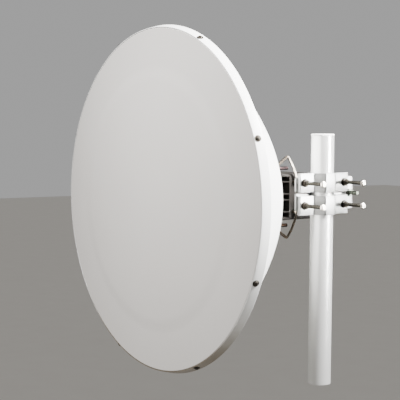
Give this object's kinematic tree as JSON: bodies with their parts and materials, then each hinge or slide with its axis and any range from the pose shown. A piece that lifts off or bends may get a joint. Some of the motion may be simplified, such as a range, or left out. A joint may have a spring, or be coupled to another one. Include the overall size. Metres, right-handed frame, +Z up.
{
  "type": "pole-mounted parabolic dish antenna",
  "caption": "Shielded round dish antenna with a flat front cover and a radio housing behind its hub, clamped beside a short pipe mast",
  "frame": {"origin": "centre of the foot face of the pipe mast", "axes": "+Z up the mast; -Y is the way the dish looks; +X is the side where the clamp bolts end; the dish axis lies at x = -0.255"},
  "size_m": [0.916, 0.5133, 0.943],
  "materials": {
    "arm_paint": "white powder coat on folded steel",
    "band_paint": "white powder coat",
    "bolt_zinc": "dull zinc plated steel, brighter at the ends",
    "bowl_paint": "white powder coat on spun aluminium",
    "cap_paint": "white moulded cap",
    "clamp_paint": "white powder coat on pressed steel",
    "cover_casting": "dark grey painted aluminium casting",
    "flange_casting": "dark grey painted casting",
    "housing_casting": "dark grey painted aluminium casting",
    "hub_casting": "dark grey painted casting",
    "keeper_steel": "dull stainless steel",
    "mast_paint": "white satin coat on galvanised pipe",
    "nut_zinc": "dark zinc plated steel",
    "pivot_zinc": "dull zinc plated steel",
    "plate_paint": "white powder coat on pressed steel",
    "radome_skin": "pale grey, slightly satin moulded skin",
    "strip_steel": "dull stainless strip",
    "stud_steel": "dull stainless steel",
    "tilt_paint": "white powder coat on steel plate"
  },
  "bodies": {
    "mast": {"mast_pole": "mast_paint", "mast_cap": "cap_paint"},
    "pole_mount": {"rear_clamp_plate": "plate_paint", "upper_front_clamp": "clamp_paint", "lower_front_clamp": "clamp_paint", "pivot_bolt": "pivot_zinc", "pivot_nut": "pivot_zinc", "clamp_bolt_upper_near": "bolt_zinc", "front_nut_upper_near": "nut_zinc", "rear_nut_upper_near": "nut_zinc", "clamp_bolt_upper_far": "bolt_zinc", "front_nut_upper_far": "nut_zinc", "rear_nut_upper_far": "nut_zinc", "clamp_bolt_lower_near": "bolt_zinc", "front_nut_lower_near": "nut_zinc", "rear_nut_lower_near": "nut_zinc", "clamp_bolt_lower_far": "bolt_zinc", "front_nut_lower_far": "nut_zinc", "rear_nut_lower_far": "nut_zinc"},
    "antenna": {"radome": "radome_skin", "rim_band": "band_paint", "reflector": "bowl_paint", "hub_ring": "hub_casting", "hub_flange": "flange_casting", "radio_housing": "housing_casting", "housing_rear_cover": "cover_casting", "arm_foot_plate": "arm_paint", "side_arm": "arm_paint", "tilt_plate": "tilt_paint", "pivot_boss": "tilt_paint", "guide_stud_upper_right": "stud_steel", "guide_stud_upper_left": "stud_steel", "guide_stud_lower_right": "stud_steel", "guide_stud_lower_left": "stud_steel", "keeper_pin_upper_right": "keeper_steel", "keeper_pin_upper_left": "keeper_steel", "keeper_pin_lower_right": "keeper_steel", "keeper_pin_lower_left": "keeper_steel"},
    "upper_latch": {"upper_latch_frame": "strip_steel"},
    "lower_latch": {"lower_latch_frame": "strip_steel"}
  },
  "joints": [
    {"name": "mast_swivel", "type": "hinge", "parent": "mast", "child": "pole_mount", "pos_m": [0, 0, 0.505], "axis": [0, 0, 1], "range_deg": [-180, 180]},
    {"name": "dish_tilt", "type": "hinge", "parent": "pole_mount", "child": "antenna", "pos_m": [0, 0.098, 0.505], "axis": [-1, 0, 0], "range_deg": [-15, 15]},
    {"name": "upper_latch_swing", "type": "hinge", "parent": "antenna", "child": "upper_latch", "pos_m": [-0.255, -0.022, 0.569], "axis": [1, 0, 0], "range_deg": [0, 75]},
    {"name": "lower_latch_swing", "type": "hinge", "parent": "antenna", "child": "lower_latch", "pos_m": [-0.255, -0.022, 0.401], "axis": [-1, 0, 0], "range_deg": [0, 75]}
  ]
}
